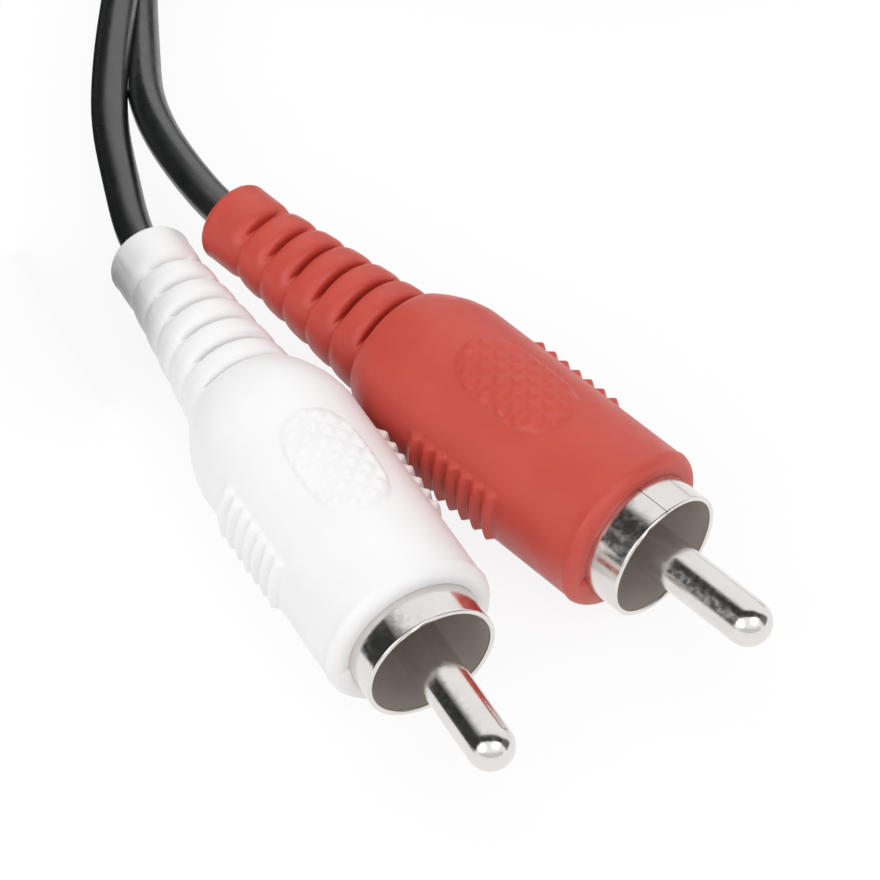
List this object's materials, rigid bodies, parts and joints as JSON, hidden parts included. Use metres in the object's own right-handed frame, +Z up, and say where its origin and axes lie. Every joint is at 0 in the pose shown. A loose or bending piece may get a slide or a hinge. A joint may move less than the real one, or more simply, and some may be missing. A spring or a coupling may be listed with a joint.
{
  "type": "rca audio cable",
  "caption": "Stereo RCA lead with white and red moulded plugs on a twin black cord, coiled, with matching plugs on the far end.",
  "frame": {"origin": "on the resting surface, under the middle of the two plugs that the picture shows", "axes": "+Z up; the two plugs lie flat with their pins towards -Y and their cords leaving towards +Y"},
  "size_m": [0.0961, 0.1432, 0.0125],
  "materials": {
    "pvc_white": "satin moulded PVC",
    "pvc_red": "satin moulded PVC",
    "pvc_black": "satin extruded PVC",
    "pe_natural": "natural moulded polyethylene",
    "pe_clear": "cellular polyethylene",
    "insulator": "moulded",
    "nickel": "nickel plated, polished",
    "copper": "drawn copper wire"
  },
  "bodies": {
    "root": {"white_moulding": "pvc_white", "white_inner_mould": "pe_natural", "white_shield_ring": "nickel", "white_insulator": "insulator", "white_pin": "nickel", "white_jacket_end": "pvc_black", "white_screen": "copper", "white_dielectric": "pe_clear", "white_wire": "copper", "red_moulding": "pvc_red", "red_inner_mould": "pe_natural", "red_shield_ring": "nickel", "red_insulator": "insulator", "red_pin": "nickel", "red_jacket_end": "pvc_black", "red_screen": "copper", "red_dielectric": "pe_clear", "red_wire": "copper", "far_white_moulding": "pvc_white", "far_white_inner_mould": "pe_natural", "far_white_shield_ring": "nickel", "far_white_insulator": "insulator", "far_white_pin": "nickel", "far_white_jacket_end": "pvc_black", "far_white_screen": "copper", "far_white_dielectric": "pe_clear", "far_white_wire": "copper", "far_red_moulding": "pvc_red", "far_red_inner_mould": "pe_natural", "far_red_shield_ring": "nickel", "far_red_insulator": "insulator", "far_red_pin": "nickel", "far_red_jacket_end": "pvc_black", "far_red_screen": "copper", "far_red_dielectric": "pe_clear", "far_red_wire": "copper", "white_leg": "pvc_black", "red_leg": "pvc_black", "twin_run": "pvc_black", "coil": "pvc_black", "far_twin_run": "pvc_black", "far_white_leg": "pvc_black", "far_red_leg": "pvc_black"}
  },
  "joints": []
}
